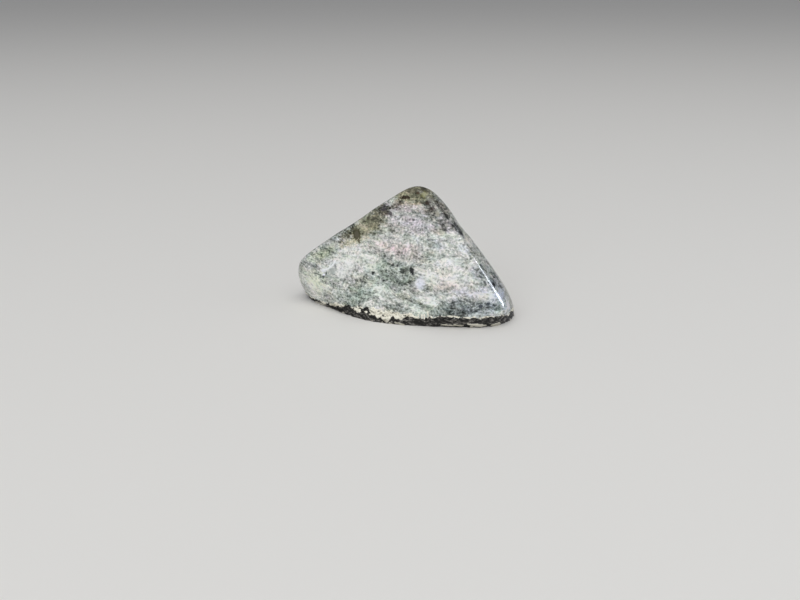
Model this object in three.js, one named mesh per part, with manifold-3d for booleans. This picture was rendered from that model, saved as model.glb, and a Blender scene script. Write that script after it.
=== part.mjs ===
// A polished serpentine stone: a squat, three-cornered free-form pebble that stands on a flat sawn base.
// Millimetres, +Z up. The origin is on the base plane, under the middle of the stone; +X is its long way.
import * as THREE from "three";
import { mergeVertices } from "three/addons/utils/BufferGeometryUtils.js";
import Module from "manifold-3d";

// Driving dimensions.
const INNER_POINT = new THREE.Vector3(1.9, 1.1, 20); // the point that all the ground faces are measured from
const SOFTNESS = 15; // how roundly the faces meet each other: a higher value is a crisper edge
const RIDGE_SOFTNESS = 30; // the same for the one crisp ridge, down the front right
const GRID = 24; // squares along each edge of the cube that the surface grid comes from
const GRID_STRETCH = 1.5; // draws the grid together towards the two ends, which lie furthest out
const BASE_CUT = 30; // thickness of the slice below the base plane, more than the stone reaches down
const CUT_WIDTH = 200; // side of that slice, wider than the stone
const WELD_DISTANCE = 1e-4; // points closer than this are one point

// The two faces that meet in the crisp ridge. Each face is the way it looks, as an azimuth round Z from +X
// and an elevation above level, in degrees, and how far it lies from the inner point.
const RIDGE_FACES = [
  { azimuth: -85, elevation: 25, distance: 22.5 }, // broad front, right half
  { azimuth: -20, elevation: 40, distance: 29.5 }, // right flank
];

// The other faces, which all run softly into each other.
const SOFT_FACES = [
  { azimuth: -110, elevation: 20, distance: 15 }, // broad front, left half
  { azimuth: -135, elevation: -20, distance: 31.5 }, // turn of the front towards the nose
  { azimuth: 90, elevation: 25, distance: 16.5 }, // back
  { azimuth: 35, elevation: 25, distance: 24 }, // right half of the back
  { azimuth: 120, elevation: 30, distance: 26.5 }, // left half of the back
  { azimuth: 140, elevation: 50, distance: 26.5 }, // long slope up the left
  { azimuth: 150, elevation: 10, distance: 52 }, // turn of the back towards the nose
  { azimuth: 180, elevation: 10, distance: 60 }, // tip of the left nose
  { azimuth: -155, elevation: -35, distance: 45 }, // underside of the left nose
  { azimuth: 150, elevation: -35, distance: 51 }, // underside of the nose, at the back
  { azimuth: -95, elevation: -40, distance: 30.5 }, // turn under the front
  { azimuth: 85, elevation: -35, distance: 31.5 }, // turn under the back
  { azimuth: -5, elevation: 15, distance: 41.5 }, // tip of the right toe
  { azimuth: -45, elevation: -40, distance: 46 }, // underside of the right toe
  { azimuth: 35, elevation: -40, distance: 44 }, // underside of the toe, at the back
  { azimuth: -90, elevation: 80, distance: 38 }, // top of the summit
  { azimuth: 160, elevation: 70, distance: 37.5 }, // left shoulder of the summit
  { azimuth: 0, elevation: 65, distance: 35.5 }, // right shoulder of the summit
];

// The way a face looks, as a vector as long as one over its distance.
function faceVector({ azimuth, elevation, distance }) {
  const turn = THREE.MathUtils.degToRad(azimuth);
  const lift = THREE.MathUtils.degToRad(elevation);
  const level = Math.cos(lift);
  const way = new THREE.Vector3(level * Math.cos(turn), level * Math.sin(turn), Math.sin(lift));
  return way.divideScalar(distance);
}

// A smooth maximum of positive numbers.
function softMaximum(values, softness) {
  const sum = values.reduce((total, value) => total + Math.max(0, value) ** softness, 0);
  return sum ** (1 / softness);
}

// How far the stone's surface lies from the inner point, along a unit direction.
function reach(direction, ridgeVectors, softVectors) {
  const ridge = softMaximum(ridgeVectors.map((v) => v.dot(direction)), RIDGE_SOFTNESS);
  const others = softVectors.map((v) => v.dot(direction));
  return 1 / softMaximum([ridge, ...others], SOFTNESS);
}

// The whole rounded body, before its base is cut: a cube's grid, pushed out along its own directions.
function roundedBody() {
  const geometry = new THREE.BoxGeometry(2, 2, 2, GRID, GRID, GRID);
  const ridgeVectors = RIDGE_FACES.map(faceVector);
  const softVectors = SOFT_FACES.map(faceVector);
  const positions = geometry.getAttribute("position");
  const point = new THREE.Vector3();
  for (let i = 0; i < positions.count; i += 1) {
    point.fromBufferAttribute(positions, i);
    // The tangent spaces the grid evenly in angle, from the middle of each cube face to its edges.
    point.set(...point.toArray().map((u) => Math.tan((u * Math.PI) / 4)));
    point.normalize();
    point.x *= GRID_STRETCH;
    point.normalize();
    point.multiplyScalar(reach(point, ridgeVectors, softVectors));
    point.add(INNER_POINT);
    positions.setXYZ(i, ...point.toArray());
  }
  return geometry;
}

// The slice of space below the base plane.
function belowBase() {
  const geometry = new THREE.BoxGeometry(CUT_WIDTH, CUT_WIDTH, BASE_CUT);
  geometry.translate(0, 0, -BASE_CUT / 2);
  return geometry;
}

const wasm = await Module();
wasm.setup();

// A closed geometry as a manifold-3d solid.
function toSolid(geometry) {
  geometry.deleteAttribute("normal");
  geometry.deleteAttribute("uv");
  const merged = mergeVertices(geometry, WELD_DISTANCE);
  const mesh = new wasm.Mesh({
    numProp: 3,
    vertProperties: new Float32Array(merged.getAttribute("position").array),
    triVerts: new Uint32Array(merged.index.array),
  });
  return new wasm.Manifold(mesh);
}

// A manifold-3d solid as a geometry.
function toGeometry(solid) {
  const mesh = solid.getMesh();
  const geometry = new THREE.BufferGeometry();
  geometry.setAttribute("position", new THREE.BufferAttribute(mesh.vertProperties, 3));
  geometry.setIndex(new THREE.BufferAttribute(mesh.triVerts, 1));
  geometry.computeVertexNormals();
  return geometry;
}

// The stone: the rounded body, cut flat where it rests.
function makeStone() {
  const solid = toSolid(roundedBody()).subtract(toSolid(belowBase()));
  const material = new THREE.MeshStandardMaterial({ color: 0xa9aea6, roughness: 0.18, metalness: 0 });
  const stone = new THREE.Mesh(toGeometry(solid), material);
  stone.name = "stone";
  return stone;
}

const part = new THREE.Group();
part.add(makeStone());

export default part;
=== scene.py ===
"""A polished serpentine stone that stands on its flat base: its mesh, its rock and a plain studio."""

import math

import bpy
import bmesh
import numpy as np
from mathutils import Euler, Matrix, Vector, noise


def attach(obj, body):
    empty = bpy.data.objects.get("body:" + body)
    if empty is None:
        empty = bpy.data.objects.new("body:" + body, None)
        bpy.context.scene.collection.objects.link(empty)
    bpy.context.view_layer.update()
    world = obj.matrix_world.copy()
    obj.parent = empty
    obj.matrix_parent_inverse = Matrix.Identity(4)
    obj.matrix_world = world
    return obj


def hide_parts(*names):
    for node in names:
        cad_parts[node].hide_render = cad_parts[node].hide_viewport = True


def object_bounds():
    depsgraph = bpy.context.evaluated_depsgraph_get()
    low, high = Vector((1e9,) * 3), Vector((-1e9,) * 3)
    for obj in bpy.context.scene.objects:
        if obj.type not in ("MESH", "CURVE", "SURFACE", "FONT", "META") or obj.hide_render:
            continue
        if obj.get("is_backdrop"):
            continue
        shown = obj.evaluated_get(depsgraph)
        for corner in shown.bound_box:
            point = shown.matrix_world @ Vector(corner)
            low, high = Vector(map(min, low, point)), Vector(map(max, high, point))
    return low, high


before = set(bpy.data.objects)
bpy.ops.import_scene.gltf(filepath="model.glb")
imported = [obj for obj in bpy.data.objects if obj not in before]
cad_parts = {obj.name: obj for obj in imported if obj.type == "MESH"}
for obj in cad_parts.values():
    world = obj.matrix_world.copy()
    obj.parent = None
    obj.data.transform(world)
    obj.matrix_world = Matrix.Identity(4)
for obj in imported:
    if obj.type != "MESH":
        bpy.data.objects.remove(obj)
CAD_LOW, CAD_HIGH = (list(corner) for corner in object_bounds())

bl_info = {
    "name": "Serpentine Stone",
    "version": (1, 0, 0),
    "blender": (4, 5, 0),
    "location": "3D View > Sidebar > Stone",
    "description": "Builds a polished free-form serpentine stone and a plain studio around it",
    "category": "Add Mesh",
}

MM = 0.001  # one millimetre in metres

# ==== The ground shape ====
# Lengths are in millimetres and angles in degrees. Each face is the way it looks, as an azimuth round Z
# from +X and an elevation above level, and how far it lies from the inner point.
INNER_POINT = np.array((1.9, 1.1, 20.0))
RIDGE_FACES = {  # the two faces that meet in the one crisp ridge
    "broad front, right half": (-85, 25, 22.5),
    "right flank": (-20, 40, 29.5),
}
SOFT_FACES = {  # the faces that run softly into each other
    "broad front, left half": (-110, 20, 15),
    "turn of the front towards the nose": (-135, -20, 31.5),
    "back": (90, 25, 16.5),
    "right half of the back": (35, 25, 24),
    "left half of the back": (120, 30, 26.5),
    "long slope up the left": (140, 50, 26.5),
    "turn of the back towards the nose": (150, 10, 52),
    "tip of the left nose": (180, 10, 60),
    "underside of the left nose": (-155, -35, 45),
    "underside of the nose, at the back": (150, -35, 51),
    "turn under the front": (-95, -40, 30.5),
    "turn under the back": (85, -35, 31.5),
    "tip of the right toe": (-5, 15, 41.5),
    "underside of the right toe": (-45, -40, 46),
    "underside of the toe, at the back": (35, -40, 44),
    "top of the summit": (-90, 80, 38),
    "left shoulder of the summit": (160, 70, 37.5),
    "right shoulder of the summit": (0, 65, 35.5),
}
SOFTNESS = 15  # a higher value is a crisper edge
RIDGE_SOFTNESS = 30
FRONT_LIMIT = 7.0  # all that lies nearer than this Y is the front, the tip of the nose too
FARTHEST, HALVINGS = 40.0, 30  # the stone is nowhere deeper, and how often a search for its skin is halved

# The surface grid. It is made twice as fine along the ridge, the lip and the margin, and again along the
# middle of the ridge and the lip. The ridge is where its two faces reach about equally far: its bands are
# how unlike they may be, and the other bands are how far off the lip or the margin may lie.
GRID_STRETCH = 1.5  # draws the grid together towards the two ends, which lie furthest out
WELD_ANGLE = 1e-5  # directions closer than this, in radians, are one point of the grid
RIDGE_BAND, RIDGE_MIDDLE = 0.045, 0.015
LIP_BAND, LIP_MIDDLE = 2.0, 1.0
MARGIN_BAND = 1.6

# Shallow hollows in the polished skin, and one fuller place: a point by the surface, its radius, its depth
# and how much of its floor is flat. A negative depth stands proud.
HOLLOWS = {
    "thumb hollow on the right shoulder": ((24.0, -5.0, 39.5), 9.0, 0.8, 0.0),
    "flat on the left slope": ((-20.0, -1.0, 37.5), 13.0, 0.45, 0.0),
    "low place over the front margin": ((-3.0, -18.0, 9.0), 9.0, 0.3, 0.0),
    "fullness under the nose": ((-43.0, 2.0, 7.0), 10.0, -0.9, 0.0),
    "hollow on the back": ((-14.0, 16.0, 22.0), 9.0, 0.6, 0.0),
}

# The scoop by the nose: a shallow chip whose crisp lip runs along an arc. The arc's centre as x and z, its
# radius, the turn of its middle, half its turn and how many degrees more it takes to fade, the scoop's
# depth, the height and half width of its lip, and how far out from the lip the floor is reached, begins to
# rise and meets the polish again.
SCOOP_CENTRE, SCOOP_RADIUS = (-36.5, 25.5), 7.2
SCOOP_MIDDLE, SCOOP_HALF_TURN, SCOOP_FADE = -55, 26, 16.0
SCOOP_DEPTH, SCOOP_LIP, SCOOP_LIP_WIDTH = 0.55, 0.15, 0.45
SCOOP_DROP, SCOOP_RISE, SCOOP_RUN = 0.8, 1.5, 8.0

# The lower edge of the polish, round the stone: azimuth about the inner point in degrees, the height of the
# edge, and how wide a band of pale crust clings to it, in millimetres.
MARGIN = (
    (-180, 2.0, 0.5),
    (-175, 2.5, 0.5),
    (-165, 4.0, 0.4),
    (-155, 5.0, 0.4),
    (-140, 4.5, 0.4),
    (-125, 4.5, 0.4),
    (-100, 4.5, 0.5),
    (-80, 4.0, 0.4),
    (-65, 5.0, 0.3),
    (-55, 5.5, 0.3),
    (-45, 5.0, 0.4),
    (-40, 5.5, 0.4),
    (-25, 5.0, 0.4),
    (-10, 4.5, 0.5),
    (5, 4.5, 0.9),
    (30, 4.0, 1.2),
    (60, 3.5, 2.2),
    (95, 4.5, 1.4),
    (125, 4.0, 2.0),
    (150, 4.5, 1.0),
    (165, 2.5, 0.8),
)

# Flakes of chalky crust on the front: the middle of each as x and z, and its half sizes, in millimetres.
CRUST_FLAKES = {
    "foot line under the nose": ((-37.5, 0.5), (3.0, 0.4)),
    "flake under the nose": ((-31.5, 2.5), (1.3, 0.9)),
    "flake beside it": ((-28.5, 4.0), (2.5, 1.0)),
    "left crumb": ((-23.0, 4.0), (0.6, 0.7)),
    "round flake": ((-20.5, 3.5), (1.4, 1.0)),
    "crumb": ((-17.0, 3.0), (0.9, 0.5)),
    "long flake": ((-12.5, 3.0), (3.6, 1.1)),
    "flake over the long one": ((-12.5, 5.0), (1.9, 1.0)),
    "great flake": ((-7.5, 3.5), (2.9, 2.2)),
    "tongue of the great flake": ((-7.5, 1.5), (0.9, 0.9)),
    "flake left of the middle": ((-3.0, 3.5), (2.6, 1.3)),
    "flake right of the middle": ((2.0, 4.5), (2.8, 0.9)),
    "first strand": ((5.5, 5.0), (0.3, 1.0)),
    "second strand": ((7.0, 5.0), (0.3, 1.5)),
    "third strand": ((8.0, 5.0), (0.3, 1.1)),
    "fourth strand": ((9.5, 5.5), (0.3, 1.6)),
    "fifth strand": ((11.0, 5.0), (0.4, 1.0)),
    "white streak on the edge": ((20.0, 6.0), (2.4, 0.5)),
    "edge crumb, right": ((25.5, 5.5), (1.3, 0.4)),
    "edge crumbs by the toe": ((32.0, 5.5), (2.2, 0.4)),
    "foot line, left end": ((-2.5, 0.5), (2.2, 0.3)),
    "foot line, left": ((19.5, 1.0), (4.5, 0.4)),
    "foot line, middle": ((28.0, 1.5), (2.4, 0.9)),
    "foot line, thin": ((32.5, 1.0), (3.0, 0.4)),
    "foot line, right": ((38.0, 1.0), (2.6, 0.8)),
}


# Unevenness of the skin, in layers: the height of each, the size of its lumps, how many finer layers lie in
# it, and the seed that sets it apart from the others.
FINER_STEP, FINER_FALL = 2.0, 0.9  # how much finer each next layer is, and how fast the layers weaken
LAP_WAVES = ((0.14, 17.0, 2, 3.0), (0.02, 5.0, 2, 7.0))  # left in the polish by the flat lap
RAGGED_EDGE = ((1.1, 2.8, 3, 11.0), (0.5, 0.9, 2, 17.0))  # the lower edge of the polish
CRUST_LUMPS = ((1.0, 1.8, 3, 23.0),)
RIND_LUMPS = ((0.5, 2.2, 4, 31.0), (0.2, 0.7, 2, 37.0))
CRUST_SPREAD = (0.7, 0.7, 1.0)  # flattens the crust's lumps, so that they run along the foot
CRUST_THICKNESS = 0.4
SOFT_RIM = 0.2  # how softly the crust's lumps end

# The crust in its two bands, along the edge of the polish and round the foot: how high a lump has to be to
# show, and how much lower where the band is full. The edge's band lies a little above the edge and fades by
# shares of its width, and the foot's fades between two heights. A flake ends raggedly by its half sizes. The
# rind begins by the edge of the polish, and is set back less towards the foot.
EDGE_CRUST, FOOT_CRUST = (0.75, 0.85), (1.0, 0.75)
CRUST_RISE, BAND_FADE, FOOT_LINE = 0.2, (0.3, 1.0), (0.3, 1.1)
FLAKE_EDGE, FLAKE_RAGGEDNESS = (0.75, 1.25), 0.7
RIND_START, RIND_RISE = (-0.1, 0.45), (-0.5, 2.2)
CUT_TOLERANCE = 0.01 * MM  # a point nearer than this to the base lies in it


def face_vectors(faces):
    """Each face's way, as a vector as long as one over its distance."""
    rows = []
    for azimuth, elevation, distance in faces.values():
        turn, lift = math.radians(azimuth), math.radians(elevation)
        level = math.cos(lift)
        rows.append((level * math.cos(turn), level * math.sin(turn), math.sin(lift)))
        rows[-1] = tuple(part / distance for part in rows[-1])
    return np.array(rows)


def soft_maximum(columns, softness):
    """A smooth maximum along each row of positive numbers."""
    return (np.maximum(0.0, columns) ** softness).sum(axis=1) ** (1.0 / softness)


def reach(directions):
    """How far the ground surface lies from the inner point along each unit direction, in millimetres."""
    ridge = soft_maximum(directions @ face_vectors(RIDGE_FACES).T, RIDGE_SOFTNESS)
    others = directions @ face_vectors(SOFT_FACES).T
    return 1.0 / soft_maximum(np.column_stack((ridge, others)), SOFTNESS)


def surface_point(x, z, side=-1):
    """The point of the ground surface at this x and z, on the front (side -1) or the back (side 1)."""
    near, far = 0.0, FARTHEST * side
    for _ in range(HALVINGS):
        middle = (near + far) / 2
        offset = np.array((x, middle, z)) - INNER_POINT
        length = float(np.linalg.norm(offset))
        if length < reach((offset / length)[None, :])[0]:
            near = middle
        else:
            far = middle
    return Vector((x, near, z))


def cube_grid(squares):
    """A cube's surface grid as a mesh of unit directions, even in angle but drawn to the two ends."""
    lines = np.tan(np.linspace(-1.0, 1.0, squares + 1) * math.pi / 4)
    across, along = np.meshgrid(lines, lines, indexing="ij")
    sheets, quads = [], []
    first = np.arange(squares)[:, None] * (squares + 1) + np.arange(squares)[None, :]
    first = first.ravel()
    for axis in range(3):
        for side in (1, -1):
            sheet = np.empty((squares + 1, squares + 1, 3))
            sheet[..., axis] = side
            sheet[..., (axis + 1) % 3] = across if side > 0 else along
            sheet[..., (axis + 2) % 3] = along if side > 0 else across
            quads.append(np.column_stack((first, first + squares + 1, first + squares + 2, first + 1)))
            first = first + (squares + 1) ** 2
            sheets.append(sheet.reshape(-1, 3))
    directions = np.concatenate(sheets)
    directions /= np.linalg.norm(directions, axis=1)[:, None]
    directions[:, 0] *= GRID_STRETCH
    directions /= np.linalg.norm(directions, axis=1)[:, None]

    sheet_mesh = bpy.data.meshes.new("surface_grid")
    sheet_mesh.from_pydata(directions.tolist(), [], np.concatenate(quads).tolist())
    work = bmesh.new()
    work.from_mesh(sheet_mesh)
    bpy.data.meshes.remove(sheet_mesh)
    bmesh.ops.remove_doubles(work, verts=work.verts, dist=WELD_ANGLE)
    return work


def unit_directions(work):
    """The directions of a grid's points."""
    directions = np.array([tuple(point.co) for point in work.verts])
    return directions / np.linalg.norm(directions, axis=1)[:, None]


def fine_detail(directions, finer):
    """Whether each direction meets the crisp ridge, the scoop's lip or the ragged margin. The finer test
    takes only the middle of the ridge and the lip."""
    ground = INNER_POINT + directions * reach(directions)[:, None]
    front_share, flank_share = (directions @ face_vectors(RIDGE_FACES).T).T
    others = soft_maximum(directions @ face_vectors(SOFT_FACES).T, SOFTNESS)
    unlike = np.abs(front_share - flank_share) / np.maximum(front_share + flank_share, others)
    ridge = (unlike < (RIDGE_MIDDLE if finer else RIDGE_BAND)) & (front_share > 0.5 * others)
    outside, along_lip = scoop_place(ground)
    lip = np.abs(outside) < (LIP_MIDDLE if finer else LIP_BAND)
    lip = lip & (along_lip > 0) & (ground[:, 1] < FRONT_LIMIT)
    if finer:
        return ridge | lip
    height, _ = margin_at(ground)
    return ridge | lip | (np.abs(height - ground[:, 2]) < MARGIN_BAND)


def smoothstep(low, high, values):
    """0 below low, 1 above high, and a smooth rise between."""
    share = np.clip((values - low) / (high - low), 0.0, 1.0)
    return share * share * (3.0 - 2.0 * share)


def unevenness(points, layers):
    """The height of layers of fractal noise at each point."""
    height = np.zeros(len(points))
    for layer_height, size, octaves, seed in layers:
        shift = Vector((seed, -seed, seed * 0.5))
        places = (Vector(point) / size + shift for point in points)
        layer = [noise.fractal(place, FINER_FALL, FINER_STEP, octaves) for place in places]
        height += layer_height * np.array(layer)
    return height


def margin_at(points):
    """The height of the polish's lower edge and the width of its crust at each point's azimuth."""
    offset = points - INNER_POINT
    azimuth = np.degrees(np.arctan2(offset[:, 1], offset[:, 0]))
    table = np.array(MARGIN, float)
    height = np.interp(azimuth, table[:, 0], table[:, 1], period=360)
    crust = np.interp(azimuth, table[:, 0], table[:, 2], period=360)
    return height, crust


def scoop_place(points):
    """How far each point lies outside the scoop's lip, and whether it is abreast of it, from 0 to 1."""
    offset = points[:, (0, 2)] - np.array(SCOOP_CENTRE)
    outside = np.linalg.norm(offset, axis=1) - SCOOP_RADIUS
    turn = np.degrees(np.arctan2(offset[:, 1], offset[:, 0]))
    past_end = np.abs(turn - SCOOP_MIDDLE) - SCOOP_HALF_TURN
    return outside, 1.0 - smoothstep(0.0, SCOOP_FADE, past_end)


def shaped_points(directions, form):
    """The finished surface in millimetres, and each point's depth below the polish, its crust, and the band
    of the scoop's lip, which carries a painted highlight.
    """
    ground = INNER_POINT + directions * reach(directions)[:, None]

    # The polish: broad flat-lap waves, and the hollows that the grinding left.
    push = unevenness(ground, LAP_WAVES)
    for centre, radius, depth, flat_share in HOLLOWS.values():
        away = np.linalg.norm(ground - np.array(centre), axis=1) / radius
        push -= depth * (1.0 - smoothstep(flat_share, 1.0, away))

    front = ground[:, 1] < FRONT_LIMIT
    outside, along_lip = scoop_place(ground)
    along_lip *= front
    # The scoop's lip band: it raises the lip, and the colour paints a white highlight along it.
    lip_and_glint = along_lip * np.exp(-((outside / SCOOP_LIP_WIDTH) ** 2))
    floor = smoothstep(0.0, SCOOP_DROP, outside) * (1.0 - smoothstep(SCOOP_RISE, SCOOP_RUN, outside))
    push += lip_and_glint * SCOOP_LIP - along_lip * floor * SCOOP_DEPTH

    # The ragged lower edge of the polish, positive below it.
    height, crust_width = margin_at(ground)
    below = height + unevenness(ground, RAGGED_EDGE) - ground[:, 2]

    # Chalky crust clings in flakes along that edge and in a thin line round the foot.
    lumps = unevenness(ground * np.array(CRUST_SPREAD), CRUST_LUMPS)
    edge_band = 1.0 - smoothstep(*BAND_FADE, np.abs(below + CRUST_RISE) / crust_width)
    foot_band = 1.0 - smoothstep(*FOOT_LINE, ground[:, 2])
    crust = np.zeros(len(ground))
    for band, (gap, filled) in ((edge_band, EDGE_CRUST), (foot_band, FOOT_CRUST)):
        flakes = smoothstep(0.0, SOFT_RIM, lumps - gap + filled * band) * smoothstep(0.0, SOFT_RIM, band)
        crust = np.maximum(crust, flakes)
    for (x, z), half_sizes in CRUST_FLAKES.values():
        away = np.hypot((ground[:, 0] - x) / half_sizes[0], (ground[:, 2] - z) / half_sizes[1])
        flake = 1.0 - smoothstep(*FLAKE_EDGE, away + FLAKE_RAGGEDNESS * lumps)
        crust = np.maximum(crust, flake * front)

    # The rind: set back under the edge and out again towards the foot, lumpy and coarse.
    rind = smoothstep(*RIND_START, below)
    push -= rind * smoothstep(*RIND_RISE, ground[:, 2]) * (form.rind_depth / MM)
    push += rind * unevenness(ground, RIND_LUMPS)
    push += crust * CRUST_THICKNESS
    return ground + directions * push[:, None], {"below_polish": below, "crust": crust, "lip_and_glint": lip_and_glint}


def build_mesh(name, form):
    """The stone's mesh in metres, cut flat at the base, with its surface attributes."""
    work = cube_grid(form.grid)
    for finer in (False, True):
        chosen = fine_detail(unit_directions(work), finer)
        work.verts.index_update()
        edges = [edge for edge in work.edges if all(chosen[end.index] for end in edge.verts)]
        bmesh.ops.subdivide_edges(work, edges=edges, cuts=1, use_grid_fill=True)
    work.verts.index_update()
    points, marks = shaped_points(unit_directions(work), form)

    mesh = bpy.data.meshes.new(name)
    work.to_mesh(mesh)
    mesh.vertices.foreach_set("co", (points * MM).astype(np.float32).ravel())
    for label, values in marks.items():
        attribute = mesh.attributes.new(label, "FLOAT", "POINT")
        attribute.data.foreach_set("value", values.astype(np.float32))

    work.clear()
    work.from_mesh(mesh)
    cut = bmesh.ops.bisect_plane(
        work,
        geom=work.verts[:] + work.edges[:] + work.faces[:],
        dist=CUT_TOLERANCE,
        plane_co=(0.0, 0.0, 0.0),
        plane_no=(0.0, 0.0, 1.0),
        clear_inner=True,
    )
    rim = [part for part in cut["geom_cut"] if isinstance(part, bmesh.types.BMEdge)]
    for point in {end for edge in rim for end in edge.verts}:
        point.co.z = 0.0
    base = bmesh.ops.contextual_create(work, geom=rim)["faces"]
    for face in work.faces:
        face.smooth = True
    for face in base:
        face.smooth = False
    bmesh.ops.triangulate(work, faces=base)
    bmesh.ops.recalc_face_normals(work, faces=work.faces[:])
    work.to_mesh(mesh)
    work.free()
    return mesh


# ==== Materials ====


def linear(hex_colour):
    """An sRGB hex colour as linear red, green and blue, and a full alpha."""
    channels = (int(hex_colour[i : i + 2], 16) / 255 for i in (1, 3, 5))
    return (*((c / 12.92 if c <= 0.04045 else ((c + 0.055) / 1.055) ** 2.4) for c in channels), 1.0)


def add_node(tree, kind, inputs=(), **settings):
    """A shader node with its settings. Its inputs come by name or number, or in their order. Each is set to
    a value, or is linked to a socket or to the first output that a node shows."""
    node = tree.nodes.new("ShaderNode" + kind)
    for key, value in settings.items():
        setattr(node, key, value)
    for key, value in inputs.items() if isinstance(inputs, dict) else enumerate(inputs):
        if isinstance(value, bpy.types.Node):
            value = next(output for output in value.outputs if output.enabled)
        if isinstance(value, bpy.types.NodeSocket):
            tree.links.new(value, node.inputs[key])
        else:
            node.inputs[key].default_value = value
    return node


def empty_tree(owner):
    """The emptied node tree of a material or a world."""
    owner.use_nodes = True
    owner.node_tree.nodes.clear()
    return owner.node_tree


# What the nodes below have in common.
SHARE, UNDER, OVER = 0, 6, 7  # a colour mix's inputs
MULTIPLY_ADD = {"operation": "MULTIPLY_ADD"}
SMOOTH = {"interpolation_type": "SMOOTHSTEP"}
COVER = {"data_type": "RGBA", "blend_type": "MIX"}
TINT = {"data_type": "RGBA", "blend_type": "MULTIPLY"}

# The beds of the rock: their tilt in degrees, how far they wander and over what distance in millimetres, and
# how many times as long along them as across them their patterns are.
BED_TILT = 6
BED_WANDER, BED_WANDER_SIZE = 4.0, 11.0
PATTERN_LENGTHS = {"long beds": 2.4, "short beds": 1.3}

# The rock's patterns of noise: which of its coordinates they follow, the size of their lumps in millimetres,
# how many finer layers they have and how strong each of those is beside the one before.
PATTERNS = {
    "beds": ("long beds", 7.0, 2, 0.8),
    "clots": ("long beds", 1.8, 2, 0.9),
    "salt": ("short beds", 0.75, 3, 0.85),
    "wavy edge": ("long beds", 2.4, 4, 0.8),
    "fine edge": ("rock", 0.7, 2, 0.6),
    "rind grain": ("long beds", 1.2, 4, 0.9),
    "grit": ("rock", 0.9, 4, 0.75),
}
CRYSTAL_SIZE = 0.95  # of the pale crystals between the grains

# The magnetite flecks: their distance from middle to middle, how much the beds crowd them, the chances at
# which the first appear and all are whole, the radius of the greatest as a share of that distance, how
# ragged they are, where their edge begins and ends, and how fully they hide the grains under them.
FLECK_SPACING, FLECK_CROWDING = 1.1, 0.9
FLECK_CHANCE, FLECK_SIZE, FLECK_RAGGEDNESS = (0.1, 0.55), 0.38, 0.5
FLECK_EDGE, FLECK_COVER = (0.20, 0.36), 0.35

# The painted highlight on the scoop's lip, a white glint painted into the colour: how ragged it is, where
# its edge begins and ends, and how fully it hides the grains. Then how ragged the rind's edge is, and how
# fully the crust shows.
LIP_GLINT_RAGGEDNESS, LIP_GLINT_EDGE, LIP_GLINT_COVER = 0.7, (0.6, 1.25), 0.85
RIND_RAGGEDNESS, CRUST_FULLNESS = 0.9, 1.16

# How light a grain is: the level of all, and how much each pattern counts. Together they give light and dark
# at every scale, from beds several millimetres thick down to grains of a few tenths of one.
TONE_LEVEL = -1.09
TONE_OF_BEDS, TONE_OF_CLOTS, TONE_OF_SALT = 1.02, 0.50, 1.45
TONE_OF_CRYSTAL, TONE_OF_CRYSTAL_RIM = 0.16, 0.30

# The grains' colours, from the darkest to the lightest.
GRAIN_COLOURS = {
    0.10: "#262824",
    0.32: "#646863",
    0.48: "#92978f",
    0.60: "#b8bcb5",
    0.74: "#d3d5ce",
    0.88: "#f6f5ef",
}

# No two grains are quite the same hue: the size of a patch of like grains, the least that each of red, green
# and blue is multiplied by, and by how much more at most.
HUE_GRAIN_SIZE = 2.2
HUE_LEAST, HUE_SPREAD = (0.872, 0.888, 0.855), (0.27, 0.22, 0.32)

# Clouds of hue that drift through the whole rock: their size in millimetres, the shift that sets each apart,
# where in its noise a cloud begins and is whole, and how strong it is.
CLOUDS = {
    "sage": (6.0, (40.0, 0.0, 0.0), 0.50, 0.62, 0.35),
    "cream": (5.0, (0.0, 40.0, 0.0), 0.51, 0.62, 0.30),
    "lilac": (4.0, (0.0, 0.0, 40.0), 0.52, 0.66, 0.15),
    "slate": (4.0, (-40.0, 0.0, 9.0), 0.52, 0.62, 0.35),
}

# The hues that other minerals give to the rock's grains, and that the painted reflections take.
HUES = {
    "white": "#ffffff",
    "cream": "#fffaf2",
    "rose": "#fff6f8",
    "brown grey": "#fff5f0",
    "olive": "#fff5da",
    "yellow green": "#faffee",
    "grey green": "#f8fffb",
    "blue grey": "#f2f7ff",
    "lilac": "#f3f3ff",
    "violet grey": "#fbf4ff",
}
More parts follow.
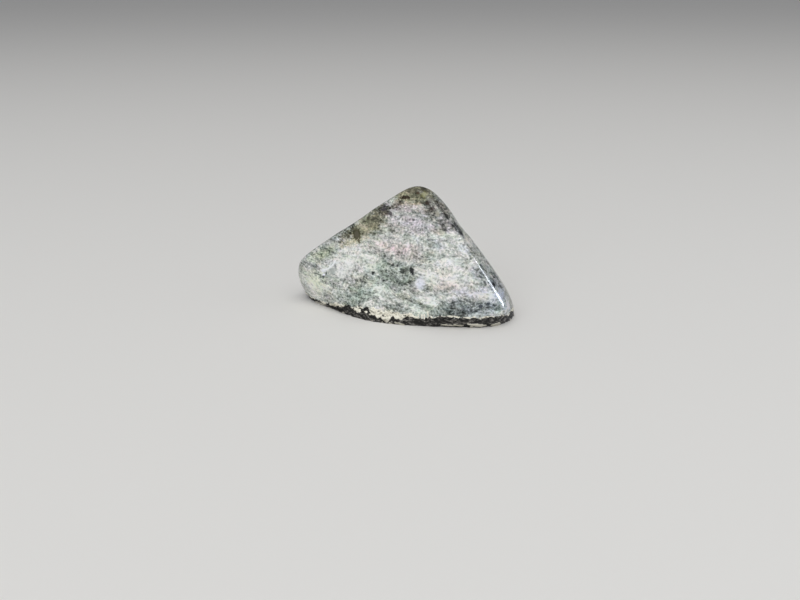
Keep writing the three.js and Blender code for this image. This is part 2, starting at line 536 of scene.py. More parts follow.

# Bodies of another mineral in the front face, and a few patches of painted reflection and painted highlight,
# named so. Each has its place on the front as x and z, its half sizes along and across, its tilt in degrees,
# how much lighter or darker its grains are, their hue, and how soft its edge is.
FRONT_PATCHES = {
    "dark green lens": ((-5.5, 20.0), (11.0, 5.5), -5, -0.10, "grey green", 0.5),
    "lens tail": ((-14.0, 12.5), (9.0, 3.5), 10, 0.10, "grey green", 0.6),
    "grey green foot, left": ((-23.0, 8.5), (9.0, 5.0), 10, -0.10, "grey green", 0.6),
    "grey green foot, right": ((27.0, 9.0), (14.5, 4.0), 0, -0.25, "blue grey", 0.5),
    # A painted reflection: the toe and flank made lighter and bluer, for the bluish light that they mirror.
    "toe": ((38.0, 12.0), (4.5, 9.0), 30, 0.10, "blue grey", 0.7),
    "pale cloud, left": ((-24.0, 22.5), (9.5, 5.5), 0, 0.15, "white", 0.8),
    "pale cloud, right": ((20.0, 24.0), (13.0, 8.5), -10, 0.20, "white", 0.8),
    "pale cloud, middle": ((-8.0, 31.0), (12.0, 3.5), 5, 0.10, "rose", 0.8),
    "grey foot, middle": ((7.0, 8.0), (11.0, 4.0), 0, 0.0, "grey green", 0.8),
    # Painted reflections: the soft bluish sheen of a lamp by the lens and at the foot.
    "painted white sheen by the lens": ((6.5, 18.0), (3.0, 3.0), 20, 0.25, "lilac", 0.6),
    "painted white sheen at the foot": ((12.5, 9.0), (2.5, 4.0), 15, 0.20, "white", 0.7),
    "grey bed over the lens": ((12.5, 33.5), (6.5, 2.0), -10, -0.05, "blue grey", 0.7),
    "rose tint, middle": ((1.5, 29.0), (9.0, 3.5), 0, 0.0, "rose", 0.8),
    "rose tint, summit": ((-0.5, 46.5), (4.5, 2.5), 5, 0.0, "rose", 0.6),
    "rose tint, right": ((17.0, 17.5), (6.0, 2.5), 0, 0.0, "rose", 0.8),
    "lilac tint, right": ((25.0, 15.5), (8.0, 2.0), -5, 0.15, "lilac", 0.7),
    "yellow nose": ((-39.0, 12.0), (6.5, 5.0), -20, 0.25, "yellow green", 0.8),
    "green nose": ((-35.0, 25.0), (7.0, 2.5), 30, 0.0, "yellow green", 0.7),
    "olive stain": ((-16.5, 37.5), (12.5, 4.0), 40, -0.15, "olive", 0.5),
    "olive stain, low end": ((-24.5, 33.5), (4.5, 2.0), 35, -0.30, "cream", 0.5),
    "olive summit": ((3.0, 52.0), (11.0, 4.0), 0, -0.20, "olive", 0.5),
    "speckled slope under the summit": ((4.0, 41.0), (11.0, 4.5), 0, 0.0, "violet grey", 0.7),
    "cream streak": ((14.0, 38.0), (3.5, 1.5), -10, -0.10, "cream", 0.6),
    "violet grey, left": ((-8.0, 45.0), (4.0, 3.0), 30, -0.20, "violet grey", 0.5),
    "violet grey, right": ((11.0, 47.0), (4.0, 2.5), -40, -0.10, "brown grey", 0.5),
    "violet grey, shoulder": ((16.5, 42.0), (5.0, 3.0), -50, -0.20, "violet grey", 0.5),
    "dark shoulder": ((22.5, 38.5), (4.0, 1.5), -50, -0.40, "lilac", 0.4),
    "flank flecks": ((36.5, 17.0), (1.5, 4.0), 30, -0.15, "blue grey", 0.5),
    "pale lip, right": ((34.0, 7.5), (7.0, 1.0), 0, 0.15, "white", 0.5),
    "brown grey shoulder": ((16.0, 46.5), (5.0, 1.5), -50, -0.20, "brown grey", 0.5),
    "pale slope by the rose": ((6.5, 47.0), (3.5, 2.0), -10, 0.15, "rose", 0.7),
    "pale band at the foot": ((7.5, 13.0), (6.5, 2.0), -15, 0.20, "white", 0.7),
    "grey bed by the rose": ((10.5, 28.5), (4.0, 2.5), 0, -0.10, "grey green", 0.8),
    "grey bed over the rose": ((1.0, 34.0), (4.5, 2.0), 0, -0.10, "grey green", 0.8),
    # Painted highlight: a faint glint along the upper ridge, above where the strip light's glint ends.
    "painted sheen on the upper ridge": ((25.0, 30.5), (4.0, 1.5), -50, 0.15, "blue grey", 0.6),
    "violet ridge": ((31.0, 21.5), (3.0, 6.5), 30, 0.0, "lilac", 0.7),
    # Painted reflection: the pale bluish rim where the flank turns away from view.
    "painted rim sheen of the toe": ((41.5, 11.0), (2.5, 6.5), 20, 0.25, "blue grey", 0.6),
    "grey flank": ((38.0, 17.5), (3.5, 11.0), 30, -0.05, "lilac", 0.7),
    "grey left shoulder": ((-3.5, 48.0), (3.5, 1.5), 35, -0.20, "brown grey", 0.5),
}

# The colours of single grains and eyes, and of the painted shade, highlights and reflections by the scoop
# and the lens.
MINERALS = {
    "magnetite": "#121518",
    "dark serpentine": "#262b28",
    "green serpentine": "#444b45",
    "slate": "#373d46",
    # Grey is a grain's colour and also the painted shade on the scoop's side. The next colour serves only
    # the painted shade in the scoop.
    "grey": "#6a7073",
    "pale grey": "#a0a7a4",
    "violet grey": "#454145",
    "dark brown": "#2b1c16",
    "iron brown": "#4c3a2c",
    "dark olive": "#44422f",
    "olive": "#5c5849",
    "pale olive": "#7b776a",
    "yellow green": "#95945a",
    "beige": "#b0ad99",
    # The next two colours serve only the painted reflections and highlights by the scoop and the lens.
    "white": "#f0f2f0",
    "lilac white": "#eef0fb",
}

# Single grains and eyes, and the painted shade, highlights and reflections by the scoop and the lens, in the
# same
# terms: place, half sizes, tilt, and then the mineral, or the painted light's colour, how fully it covers
# the rock and how soft its edge is.
PLAIN_GRAINS = {
    "olive body of the summit": ((4.0, 52.0), (9.5, 2.5), 0, "olive", 0.3, 0.9),
    "olive crest of the summit": ((4.5, 53.5), (6.5, 1.0), 0, "olive", 0.6, 0.9),
    "olive body of the stain": ((-16.5, 37.5), (11.0, 3.5), 40, "pale olive", 0.25, 0.9),
    "grey shoulder": ((11.5, 50.0), (2.0, 1.5), -50, "pale olive", 0.5, 0.9),
    # Painted shade in the scoop: its foot, floor and side are darker and smooth, for the walls that turn
    # from the light.
    "painted shade at the scoop's foot": ((-32.5, 16.0), (2.5, 0.6), -10, "pale grey", 0.7, 0.6),
    "painted shade on the scoop's floor": ((-31.5, 18.5), (2.0, 1.8), -40, "pale grey", 0.75, 0.8),
    "painted shade on the scoop's side": ((-30.0, 20.5), (0.7, 1.5), 25, "grey", 0.7, 0.8),
    # Painted reflection: the pale sheen of a lamp on the smooth ground beyond the scoop.
    "painted sheen beyond the scoop": ((-27.5, 18.0), (3.0, 2.5), 20, "white", 0.55, 0.9),
    "white painted sheen beyond the scoop": ((-24.0, 21.5), (3.5, 2.0), 15, "white", 0.6, 0.9),
    # Painted highlight: a lilac-white glint at the lower end of the scoop's lip, brightest at its middle.
    "painted lilac glint of the scoop": ((-35.0, 18.0), (1.5, 0.8), 15, "lilac white", 0.75, 0.9),
    "brightest point of the painted lilac glint": ((-35.0, 16.5), (0.6, 0.6), 0, "lilac white", 0.95, 0.5),
    # Dark marks beside and under the painted glint.
    "dark beside the painted lilac glint": ((-34.0, 17.0), (0.4, 0.7), 0, "slate", 0.9, 0.6),
    "dark under the painted lilac glint": ((-35.5, 15.5), (0.9, 0.4), 15, "slate", 0.8, 0.6),
    # Painted reflection: the lilac-white sheen by the lens.
    "painted lilac sheen by the lens": ((6.5, 17.5), (2.5, 2.5), 20, "lilac white", 0.6, 0.9),
    "lens eye": ((3.0, 22.0), (1.1, 1.8), 15, "magnetite", 0.95, 0.5),
    "lens eye, left": ((-1.0, 21.5), (1.4, 1.3), 30, "dark serpentine", 0.85, 0.6),
    "lens corner": ((-13.5, 19.5), (0.9, 0.8), 0, "dark serpentine", 0.95, 0.5),
    "lens grain": ((-7.0, 19.0), (0.6, 0.5), 0, "green serpentine", 0.85, 0.6),
    "lens grain, middle": ((-7.5, 17.5), (0.4, 0.7), 0, "green serpentine", 0.8, 0.6),
    "lens grain, low": ((-9.0, 17.0), (0.7, 0.5), 20, "dark serpentine", 0.9, 0.6),
    "lens grain, upper": ((-5.0, 23.5), (0.7, 0.6), 20, "magnetite", 0.85, 0.6),
    "lens grain, upper right": ((-3.0, 23.5), (0.6, 0.7), 0, "magnetite", 0.8, 0.6),
    "lens grain, right": ((0.0, 17.0), (0.6, 0.4), 0, "green serpentine", 0.6, 0.6),
    "lens grain, right foot": ((0.0, 14.5), (0.6, 0.5), 0, "green serpentine", 0.8, 0.6),
    "rim of the oval inclusion": ((-20.5, 34.0), (1.6, 2.4), 15, "dark olive", 0.9, 0.3),
    "oval inclusion": ((-20.5, 34.0), (0.9, 1.6), 15, "olive", 0.9, 0.3),
    "inclusion tail": ((-19.5, 31.5), (0.6, 1.1), 20, "olive", 0.9, 0.6),
    "brown streak": ((0.5, 50.5), (2.6, 0.8), 5, "dark brown", 0.9, 0.6),
    "brown grain, summit": ((5.5, 52.5), (0.9, 0.5), 0, "iron brown", 0.85, 0.6),
    "yellow green grain, summit": ((8.0, 52.0), (1.5, 1.7), 20, "yellow green", 0.55, 0.9),
    "brown grain, right": ((11.5, 47.0), (1.0, 0.8), 0, "dark brown", 0.9, 0.5),
    "dark grain by the summit": ((9.5, 49.0), (1.3, 1.0), 35, "dark brown", 0.85, 0.6),
    "beige grain": ((13.5, 45.0), (1.3, 1.5), 0, "beige", 0.55, 0.9),
    "violet grain, left": ((-9.0, 45.0), (1.5, 0.7), 20, "violet grey", 0.8, 0.6),
    "violet grain, low": ((-6.0, 43.5), (0.8, 1.3), 45, "violet grey", 0.85, 0.6),
    "slope grain, left": ((2.0, 42.0), (0.6, 0.6), 0, "dark serpentine", 0.65, 0.7),
    "slope grain, right": ((3.5, 42.0), (0.7, 0.6), 0, "dark serpentine", 0.75, 0.7),
    "slope grain, low": ((4.0, 38.0), (0.9, 0.7), 0, "green serpentine", 0.45, 0.8),
    "shoulder grain": ((17.5, 43.5), (0.9, 0.6), -30, "dark serpentine", 0.9, 0.6),
    "shoulder grain, low": ((15.0, 42.5), (0.9, 0.5), 20, "dark serpentine", 0.9, 0.6),
    "edge grain": ((23.5, 37.0), (0.9, 1.6), 35, "magnetite", 0.9, 0.6),
    "flank grain": ((37.0, 17.5), (0.8, 0.9), 20, "magnetite", 0.9, 0.6),
    "flank grain, upper": ((37.0, 19.5), (0.6, 0.6), 0, "magnetite", 0.9, 0.6),
    "ridge grain, upper": ((29.5, 23.0), (0.6, 0.5), -50, "grey", 0.7, 0.7),
    "ridge grain, middle": ((31.5, 21.0), (0.8, 0.5), -50, "slate", 0.85, 0.6),
    "ridge grain, lower": ((33.0, 19.0), (1.1, 0.5), -50, "slate", 0.8, 0.6),
    "toe grain": ((34.5, 11.0), (0.7, 0.6), 0, "slate", 0.85, 0.6),
    "toe grain, low": ((31.0, 10.0), (1.1, 0.8), 0, "slate", 0.85, 0.6),
    "shoulder spot, low": ((31.5, 25.0), (0.8, 0.7), -30, "slate", 0.9, 0.6),
}

# The reach of a mineral body, in its own half sizes: how far out it is felt, how far noise pushes its edge
# out, and where the edge then lies. A patch also fades beyond its edge, by a share of its softness.
BODY_REACH = 2.6
PATCH_RAGGEDNESS, PATCH_EDGE, PATCH_FADE = 2.4, 2.2, 0.6
GRAIN_RAGGEDNESS, GRAIN_EDGE = 1.6, 2.0

# The finish: antigorite's index of refraction, how rough the polish is on its brightest and dullest grains,
# where in their pattern those lie, how rough the rind is, and how high the fine relief stands.
SERPENTINE_IOR = 1.56
POLISH_ROUGHNESS, DULL_GRAINS, RIND_ROUGHNESS = (0.08, 0.12), (0.35, 0.7), 0.72
GRAIN_RELIEF, GRAIN_RELIEF_SHARE = 0.03 * MM, 0.01
GRIT_RELIEF = 0.35 * MM


def rock_coordinates(tree):
    """The rock's coordinates in millimetres: plain, and laid along its beds, which drift a little so that
    none is straight."""
    position = add_node(tree, "TexCoord").outputs["Object"]
    rock = add_node(tree, "Mapping", {"Vector": position, "Scale": (1 / MM,) * 3})
    drift = add_node(tree, "TexNoise", {"Vector": rock, "Scale": 1 / BED_WANDER_SIZE, "Detail": 2})
    drift = add_node(tree, "VectorMath", (drift.outputs["Color"], (0.5,) * 3), operation="SUBTRACT")
    drifted = add_node(tree, "VectorMath", (drift, (BED_WANDER,) * 3, rock), **MULTIPLY_ADD)
    coordinates = {"rock": rock}
    for name, length in PATTERN_LENGTHS.items():
        tilt = (math.radians(BED_TILT), math.radians(BED_TILT), 0.0)
        beds = {"Vector": drifted, "Rotation": tilt, "Scale": (length, length, 1.0)}
        coordinates[name] = add_node(tree, "Mapping", beds, vector_type="TEXTURE")
    return coordinates


def body_share(tree, rock, body, ragged, edge, cover=1.0):
    """How fully a mineral body fills each place: cover at its heart, then smoothly down to 0 over its edge,
    which is given by where it begins and ends."""
    (x, z), half_sizes, tilt = body
    across, up = (half * BODY_REACH for half in half_sizes)
    place = {
        "Vector": rock,
        "Location": surface_point(x, z),
        "Rotation": (0.0, math.radians(-tilt), 0.0),
        "Scale": (across, max(across, up), up),
    }
    place = add_node(tree, "Mapping", place, vector_type="TEXTURE")
    ball = add_node(tree, "TexGradient", {"Vector": place}, gradient_type="SPHERICAL")
    away = add_node(tree, "Math", (ball.outputs["Fac"], -BODY_REACH, ragged), **MULTIPLY_ADD)
    return add_node(tree, "MapRange", (away, *edge, cover, 0.0), **SMOOTH)


def grain_tone(tree, along, patterns):
    """How light each grain is, over the whole rock."""
    crystals = add_node(tree, "TexVoronoi", {"Vector": along["short beds"], "Scale": 1 / CRYSTAL_SIZE})
    crystal = add_node(tree, "SeparateColor", {"Color": crystals.outputs["Color"]})
    tone = TONE_LEVEL
    for light, share in (
        (patterns["beds"], TONE_OF_BEDS),
        (patterns["clots"], TONE_OF_CLOTS),
        (patterns["salt"], TONE_OF_SALT),
        (crystal, TONE_OF_CRYSTAL),
        (crystals, TONE_OF_CRYSTAL_RIM),
    ):
        tone = add_node(tree, "Math", (light, share, tone), **MULTIPLY_ADD)
    return tone


def front_patches(tree, rock, patterns, tone):
    """The tone, shifted by the bodies of other minerals and the patches of painted light, and the tint that
    they give to their grains.
    """
    ragged = add_node(tree, "Math", (patterns["wavy edge"], PATCH_RAGGEDNESS, BODY_REACH), **MULTIPLY_ADD)
    tint = linear("#ffffff")
    for *body, lighter, hue, softness in FRONT_PATCHES.values():
        edge = (PATCH_EDGE - softness, PATCH_EDGE + softness * PATCH_FADE)
        share = body_share(tree, rock, body, ragged, edge)
        tone = add_node(tree, "Math", (share, lighter, tone), **MULTIPLY_ADD)
        tint = add_node(tree, "Mix", {SHARE: share, UNDER: tint, OVER: linear(HUES[hue])}, **TINT)
    return tone, tint


def grain_colours(tree, tone):
    """Each grain's colour by its tone, as a ramp of greys that lean to green."""
    grains = add_node(tree, "ValToRGB", {"Fac": tone})
    stops = grains.color_ramp.elements
    (first, darkest), *middle, (last, lightest) = GRAIN_COLOURS.items()
    stops[0].position, stops[0].color = first, linear(darkest)
    stops[1].position, stops[1].color = last, linear(lightest)
    for place, hex_colour in middle:
        stops.new(place).color = linear(hex_colour)
    return grains


def hue_clouds(tree, along, colours, colour):
    """The colour with each grain's own hue and the clouds of hue."""
    hue_noise = {"Vector": along["short beds"], "Scale": 1 / HUE_GRAIN_SIZE, "Detail": 3, "Roughness": 0.8}
    hue_noise = add_node(tree, "TexNoise", hue_noise)
    hue = add_node(tree, "VectorMath", (hue_noise.outputs["Color"], HUE_SPREAD, HUE_LEAST), **MULTIPLY_ADD)
    colour = add_node(tree, "Mix", {SHARE: 1.0, UNDER: colour, OVER: hue}, **TINT)
    for name, (size, shift, begins, whole, strength) in CLOUDS.items():
        moved = add_node(tree, "VectorMath", (along["long beds"], shift), operation="ADD")
        noise_inputs = {"Vector": moved, "Scale": 1 / size, "Detail": 4, "Roughness": 0.75}
        cloud = add_node(tree, "TexNoise", noise_inputs)
        share = add_node(tree, "MapRange", (cloud, begins, whole, 0.0, strength), **SMOOTH)
        hue = (*getattr(colours, name), 1.0)
        colour = add_node(tree, "Mix", {SHARE: share, UNDER: colour, OVER: hue}, **TINT)
    return colour


def magnetite_flecks(tree, along, patterns, colours, colour):
    """The colour with small near-black flecks, thick in some beds and rare in others."""
    flecks = add_node(tree, "TexVoronoi", {"Vector": along["short beds"], "Scale": 1 / FLECK_SPACING})
    pick = add_node(tree, "SeparateColor", {"Color": flecks.outputs["Color"]}).outputs["Blue"]
    chance = add_node(tree, "Math", (patterns["beds"], -FLECK_CROWDING, pick), **MULTIPLY_ADD)
    size = add_node(tree, "MapRange", (chance, *FLECK_CHANCE, 0.0, FLECK_SIZE), **SMOOTH)
    inside = add_node(tree, "Math", (size, flecks), operation="SUBTRACT")
    inside = add_node(tree, "Math", (patterns["fine edge"], FLECK_RAGGEDNESS, inside), **MULTIPLY_ADD)
    share = add_node(tree, "MapRange", (inside, *FLECK_EDGE, 0.0, FLECK_COVER), **SMOOTH)
    magnetite = (*colours.magnetite, 1.0)
    return add_node(tree, "Mix", {SHARE: share, UNDER: colour, OVER: magnetite}, **COVER)


def single_grains(tree, rock, patterns, colour):
    """The colour with the single grains and eyes, and the painted shade, highlights and sheen by the scoop
    and lens.
    """
    ragged = add_node(tree, "Math", (patterns["fine edge"], GRAIN_RAGGEDNESS, BODY_REACH), **MULTIPLY_ADD)
    # Some of these are painted light: the shade, highlights and sheen by the scoop and the lens.
    for *body, mineral, cover, softness in PLAIN_GRAINS.values():
        share = body_share(tree, rock, body, ragged, (GRAIN_EDGE - softness, GRAIN_EDGE), cover)
        grain = linear(MINERALS[mineral])
        colour = add_node(tree, "Mix", {SHARE: share, UNDER: colour, OVER: grain}, **COVER)
    return colour


def scoop_lip_and_glint(tree, patterns, colours, colour):
    """The colour with a white highlight painted along the rim of the scoop."""
    lip_and_glint = add_node(tree, "Attribute", attribute_name="lip_and_glint").outputs["Fac"]
    lip_and_glint = add_node(tree, "Math", (patterns["fine edge"], LIP_GLINT_RAGGEDNESS, lip_and_glint), **MULTIPLY_ADD)
    share = add_node(tree, "MapRange", (lip_and_glint, *LIP_GLINT_EDGE, 0.0, LIP_GLINT_COVER), **SMOOTH)
    # The white of the painted highlight.
    white = (*colours.lip_and_glint, 1.0)
    return add_node(tree, "Mix", {SHARE: share, UNDER: colour, OVER: white}, **COVER)


def rind_and_crust(tree, rock, patterns, colours, colour):
    """The colour with the black rind and its cream crust, in the places that the mesh carries, and how much
    of each place they roughen."""
    below = add_node(tree, "Attribute", attribute_name="below_polish").outputs["Fac"]
    crust = add_node(tree, "Attribute", attribute_name="crust").outputs["Fac"]
    below = add_node(tree, "Math", (patterns["fine edge"], RIND_RAGGEDNESS, below), **MULTIPLY_ADD)
    crust = add_node(tree, "Math", (crust, CRUST_FULLNESS, patterns["fine edge"]), **MULTIPLY_ADD)
    height = add_node(tree, "SeparateXYZ", {"Vector": rock}).outputs["Z"]

    # Each share: what it follows, where it begins and ends to change, and how much it is before and after.
    shares = {}
    for name, *change in (
        ("rind", below, 0.35, 0.65, 0.0, 1.0),
        ("crust", crust, 1.02, 1.18, 0.0, 1.0),
        ("speckle", patterns["rind grain"], 0.52, 0.60, 0.0, 1.0),
        ("clean crust", patterns["rind grain"], 0.38, 0.52, 0.0, 1.0),
        # Painted shade: the crust darker in its lowest 2.4 mm, most below 0.8 mm, for the shade at the foot.
        ("painted_shade", height, 0.8, 2.4, 0.6, 0.0),
    ):
        shares[name] = add_node(tree, "MapRange", change, **SMOOTH)

    shades = ("rind", "rind_speckle", "crust", "crust_shade", "foot_painted_shade")
    shades = {name: (*getattr(colours, name), 1.0) for name in shades}
    layers = {SHARE: shares["speckle"], UNDER: shades["rind"], OVER: shades["rind_speckle"]}
    rind_colour = add_node(tree, "Mix", layers, **COVER)
    layers = {SHARE: shares["clean crust"], UNDER: shades["crust_shade"], OVER: shades["crust"]}
    crust_colour = add_node(tree, "Mix", layers, **COVER)
    # The crust darkened towards the foot by painted shade.
    layers = {SHARE: shares["painted_shade"], UNDER: crust_colour, OVER: shades["foot_painted_shade"]}
    crust_colour = add_node(tree, "Mix", layers, **COVER)
    for name, over in (("rind", rind_colour), ("crust", crust_colour)):
        colour = add_node(tree, "Mix", {SHARE: shares[name], UNDER: colour, OVER: over}, **COVER)
    rough = add_node(tree, "Math", (shares["rind"], shares["crust"]), operation="MAXIMUM")
    return colour, rough


def polished_serpentine(colours):
    """Serpentine rock, ground and tumbled to a gloss: a pale interlocking mottle of grey green, cream and
    white grains under a clear shine, with dark magnetite flecks, and a dull black rind with cream crust
    where the polish stops."""
    material = bpy.data.materials.new("polished_serpentine")
    tree = empty_tree(material)
    along = rock_coordinates(tree)
    rock = along["rock"]
    patterns = {}
    for name, (follows, size, layers, strength) in PATTERNS.items():
        noise_inputs = {"Vector": along[follows], "Scale": 1 / size, "Detail": layers, "Roughness": strength}
        patterns[name] = add_node(tree, "TexNoise", noise_inputs)

    tone = grain_tone(tree, along, patterns)
    tone, tint = front_patches(tree, rock, patterns, tone)
    colour = grain_colours(tree, tone)
    colour = hue_clouds(tree, along, colours, colour)
    colour = add_node(tree, "Mix", {SHARE: 1.0, UNDER: colour, OVER: tint}, **TINT)
    colour = magnetite_flecks(tree, along, patterns, colours, colour)
    colour = single_grains(tree, rock, patterns, colour)
    # A white highlight painted along the scoop's lip.
    colour = scoop_lip_and_glint(tree, patterns, colours, colour)
    colour, rough = rind_and_crust(tree, rock, patterns, colours, colour)

    # The polish is a little duller on some grains than on others, and the rind and crust are matt.
    polish = add_node(tree, "MapRange", (patterns["salt"], *DULL_GRAINS, *POLISH_ROUGHNESS), **SMOOTH)
    roughness = add_node(tree, "Mix", {0: rough, 2: polish, 3: RIND_ROUGHNESS}, data_type="FLOAT")

    # Relief too fine for the mesh: the grains stand proud of each other in the polish by less than can be
    # felt, and the rind is gritty.
    relief = {"Strength": GRAIN_RELIEF_SHARE, "Distance": GRAIN_RELIEF, "Height": patterns["salt"]}
    relief = add_node(tree, "Bump", relief)
    grit = {"Strength": rough, "Distance": GRIT_RELIEF, "Height": patterns["grit"], "Normal": relief}
    grit = add_node(tree, "Bump", grit)
    looks = {"Base Color": colour, "Roughness": roughness, "IOR": SERPENTINE_IOR, "Normal": grit}
    surface = add_node(tree, "BsdfPrincipled", looks)
    add_node(tree, "OutputMaterial", {"Surface": surface})
    return material


# ==== What a user may change ====


def colour_property(name, description, hex_colour):
    """A colour that a user may change, from its sRGB hex value."""
    return bpy.props.FloatVectorProperty(
        name=name,
        description=description,
        subtype="COLOR",
        size=3,
        min=0.0,
        max=1.0,
        default=linear(hex_colour)[:3],
    )


class StoneForm(bpy.types.PropertyGroup):
    """The stone's sizes."""

    grid: bpy.props.IntProperty(
        name="Grid", description="Squares along each edge of the surface grid", default=118, min=20, max=120
    )
    rind_depth: bpy.props.FloatProperty(
        name="Rind depth",
        description="How far the rind is set back under the edge of the polish",
        default=0.7 * MM,
        unit="LENGTH",
    )


class StoneColours(bpy.types.PropertyGroup):
    """The rock's colours."""

    sage: colour_property("Sage", "Tint of the green clouds", "#c6d6c4")
    cream: colour_property("Cream", "Tint of the warm clouds", "#e9e2cb")
    lilac: colour_property("Lilac", "Tint of the violet clouds", "#dcd3dc")
    slate: colour_property("Slate", "Tint of the blue grey clouds", "#c9d2d8")
    magnetite: colour_property("Magnetite", "The small dark flecks", "#3a403c")
    # A painted highlight: the white glint along the scoop's lip.
    lip_and_glint: colour_property("Lip glint", "The white bruise on the rim of the scoop", "#f6f8f9")
    rind: colour_property("Rind", "The dull unpolished margin", "#0b0a08")
    rind_speckle: colour_property("Rind speckle", "Pale specks in the margin", "#8a8680")
    crust: colour_property("Crust", "The chalky crust along the margin", "#fdf9e9")
    crust_shade: colour_property("Crust shade", "The crust's darker places", "#a8a38f")
    # Painted shade: the darker colour of the crust towards the foot.
    foot_painted_shade: colour_property("Foot dirt", "The dirt on the crust round the foot", "#858072")


class StudioSettings(bpy.types.PropertyGroup):
    """The studio's sizes and colours."""

    floor_radius: bpy.props.FloatProperty(
        name="Floor radius", description="Radius of the round floor", default=9.0, unit="LENGTH"
    )
    distance: bpy.props.FloatProperty(
        name="Camera distance", description="From the point aimed at", default=0.364, unit="LENGTH"
    )
    pitch: bpy.props.FloatProperty(
        name="Camera pitch",
        description="How far the camera looks down",
        default=math.radians(20),
        subtype="ANGLE",
    )
    lens: bpy.props.FloatProperty(name="Lens", description="Focal length in millimetres", default=40.0)
    floor_colour: colour_property("Floor", "The plain floor", "#efede9")
    sky_colour: colour_property("Surroundings", "The plain light all round", "#e6e8ec")


# ==== Operators ====

STONE_TRIANGLES = 200_000  # the most that the stone's mesh may have


class STONE_OT_add_stone(bpy.types.Operator):
    """Add the serpentine stone, standing on its base"""

    bl_idname = "stone.add_stone"
    bl_label = "Serpentine stone"

    def execute(self, context):
        mesh = build_mesh("serpentine_stone", context.scene.stone_form)
        triangles = sum(len(face.vertices) - 2 for face in mesh.polygons)
        if triangles >= STONE_TRIANGLES:
            raise RuntimeError(f"the stone has {triangles} triangles: lower its grid")
        mesh.materials.append(polished_serpentine(context.scene.stone_colours))
        stone = bpy.data.objects.new("serpentine_stone", mesh)
        context.scene.collection.objects.link(stone)
        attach(stone, "root")
        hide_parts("stone")
        return {"FINISHED"}


# Each light: where it stands, as azimuth, elevation and distance from the stone, its two sides in metres,
# its power in watts, its colour and what it does. "light" is polarised, so that it lights the rock and
# leaves no veil on the polish, "glint" only glints in what is glossy, and "both" does both.
LIGHTS = {
    "overhead_softbox": (-80, 60, 2.4, (2.0, 2.0), 26.5, "#fffefb", "both"),
    "front_softbox": (-112, 30, 2.0, (1.6, 1.2), 10.5, "#f4f8ff", "light"),
    "right_strip": (-10, 24, 0.9, (0.5, 0.42), 9.0, "#f0f5ff", "glint"),
}


FLOOR_CORNERS, FLOOR_GAP = 96, 0.05 * MM  # the gap keeps the floor clear of the stone's flat base
PAPER_ROUGHNESS = 0.85
SKY_STRENGTH, SKY_GLOSS_LOSS = 0.40, 0.28  # how bright it is all round, and how much less in the polish
SENSOR_WIDTH = 36.0  # a full frame, in millimetres
NEAREST_SEEN = 0.01  # metres from the camera
AIM_TO_LEFT, AIM_INWARD = 2.1 * MM, 0.6 * MM  # from the middle of the stone's front
AIM_HEIGHT = 0.24  # as a share of the stone's height


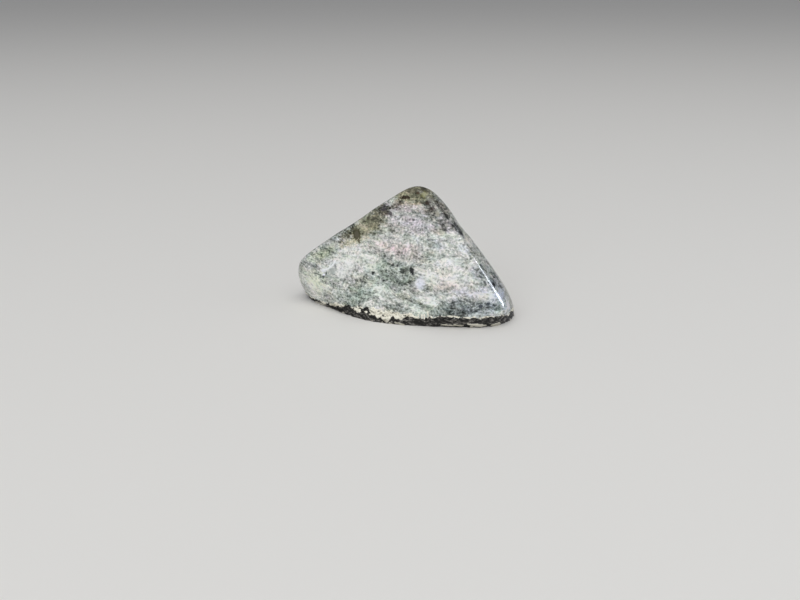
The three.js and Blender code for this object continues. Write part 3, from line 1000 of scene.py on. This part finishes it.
class STONE_OT_add_stage(bpy.types.Operator):
    """Add the plain floor, the soft lights and the camera"""

    bl_idname = "stone.add_stage"
    bl_label = "Studio"

    def execute(self, context):
        scene = context.scene
        settings = scene.stone_studio
        scene.view_settings.view_transform = "Standard"

        size = {"vertices": FLOOR_CORNERS, "radius": settings.floor_radius}
        bpy.ops.mesh.primitive_circle_add(**size, fill_type="NGON")
        floor = context.active_object
        floor.name = "studio_floor"
        floor.location.z = -FLOOR_GAP
        floor.data.materials.append(self.seamless_paper(settings))
        floor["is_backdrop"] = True

        self.surroundings(scene, settings)
        for name, light in LIGHTS.items():
            self.add_light(scene, name, *light)
        self.add_camera(scene, settings)
        return {"FINISHED"}

    def seamless_paper(self, settings):
        """Seamless studio paper: plain and matt, so that it takes soft shadows and shows no glint."""
        material = bpy.data.materials.new("seamless_paper")
        tree = empty_tree(material)
        looks = {"Base Color": (*settings.floor_colour, 1.0), "Roughness": PAPER_ROUGHNESS}
        surface = add_node(tree, "BsdfPrincipled", looks)
        add_node(tree, "OutputMaterial", {"Surface": surface})
        return material

    def surroundings(self, scene, settings):
        """An even light from all round, dim in reflections, so that the polish keeps its dark grains."""
        world = bpy.data.worlds.new("studio_surroundings")
        tree = empty_tree(world)
        glossy = add_node(tree, "LightPath").outputs["Is Glossy Ray"]
        strength = add_node(tree, "Math", (glossy, -SKY_GLOSS_LOSS, SKY_STRENGTH), **MULTIPLY_ADD)
        sky = {"Color": (*settings.sky_colour, 1.0), "Strength": strength}
        light = add_node(tree, "Background", sky)
        add_node(tree, "OutputWorld", {"Surface": light})
        scene.world = world

    def add_light(self, scene, name, azimuth, elevation, distance, sides, power, hex_colour, does):
        """A soft box that looks at the middle of the stone."""
        data = bpy.data.lights.new(name, "AREA")
        data.shape = "RECTANGLE"
        data.size, data.size_y = sides
        data.energy = power
        data.color = linear(hex_colour)[:3]
        turn, lift = math.radians(azimuth), math.radians(elevation)
        away = Vector((math.cos(lift) * math.cos(turn), math.cos(lift) * math.sin(turn), math.sin(lift)))
        target = Vector((0.0, 0.0, CAD_HIGH[2] / 2))
        lamp = bpy.data.objects.new(name, data)
        lamp.location = target + away * distance
        lamp.rotation_euler = away.to_track_quat("Z", "Y").to_euler()
        lamp.visible_diffuse = does != "glint"
        lamp.visible_glossy = does != "light"
        lamp.visible_camera = False
        scene.collection.objects.link(lamp)

    def add_camera(self, scene, settings):
        """The camera, level across, looking down at a point just in front of the stone's foot."""
        data = bpy.data.cameras.new("studio_camera")
        data.lens = settings.lens
        data.sensor_width = SENSOR_WIDTH
        data.clip_start = NEAREST_SEEN
        middle = (CAD_LOW[0] + CAD_HIGH[0]) / 2
        aim = Vector((middle - AIM_TO_LEFT, CAD_LOW[1] + AIM_INWARD, AIM_HEIGHT * CAD_HIGH[2]))
        away = Vector((0.0, -math.cos(settings.pitch), math.sin(settings.pitch)))
        camera = bpy.data.objects.new("studio_camera", data)
        camera.location = aim + away * settings.distance
        camera.rotation_euler = Euler((math.pi / 2 - settings.pitch, 0.0, 0.0))
        scene.collection.objects.link(camera)
        scene.camera = camera


class STONE_PT_panel(bpy.types.Panel):
    """The stone's operators and settings"""

    bl_idname = "STONE_PT_panel"
    bl_label = "Serpentine Stone"
    bl_space_type = "VIEW_3D"
    bl_region_type = "UI"
    bl_category = "Stone"

    def draw(self, context):
        for title, operator, settings in (
            ("Stone", STONE_OT_add_stone.bl_idname, ("stone_form", "stone_colours")),
            ("Studio", STONE_OT_add_stage.bl_idname, ("stone_studio",)),
        ):
            box = self.layout.box()
            box.label(text=title)
            box.operator(operator)
            for group in settings:
                values = getattr(context.scene, group)
                for key in values.bl_rna.properties.keys():
                    if key not in {"rna_type", "name"}:
                        box.prop(values, key)


CLASSES = (
    StoneForm,
    StoneColours,
    StudioSettings,
    STONE_OT_add_stone,
    STONE_OT_add_stage,
    STONE_PT_panel,
)


def register():
    for each in CLASSES:
        bpy.utils.register_class(each)
    bpy.types.Scene.stone_form = bpy.props.PointerProperty(type=StoneForm)
    bpy.types.Scene.stone_colours = bpy.props.PointerProperty(type=StoneColours)
    bpy.types.Scene.stone_studio = bpy.props.PointerProperty(type=StudioSettings)


def unregister():
    del bpy.types.Scene.stone_studio
    del bpy.types.Scene.stone_colours
    del bpy.types.Scene.stone_form
    for each in reversed(CLASSES):
        bpy.utils.unregister_class(each)


def main():
    register()
    bpy.ops.stone.add_stone()
    bpy.ops.stone.add_stage()


if __name__ == "__main__":
    main()
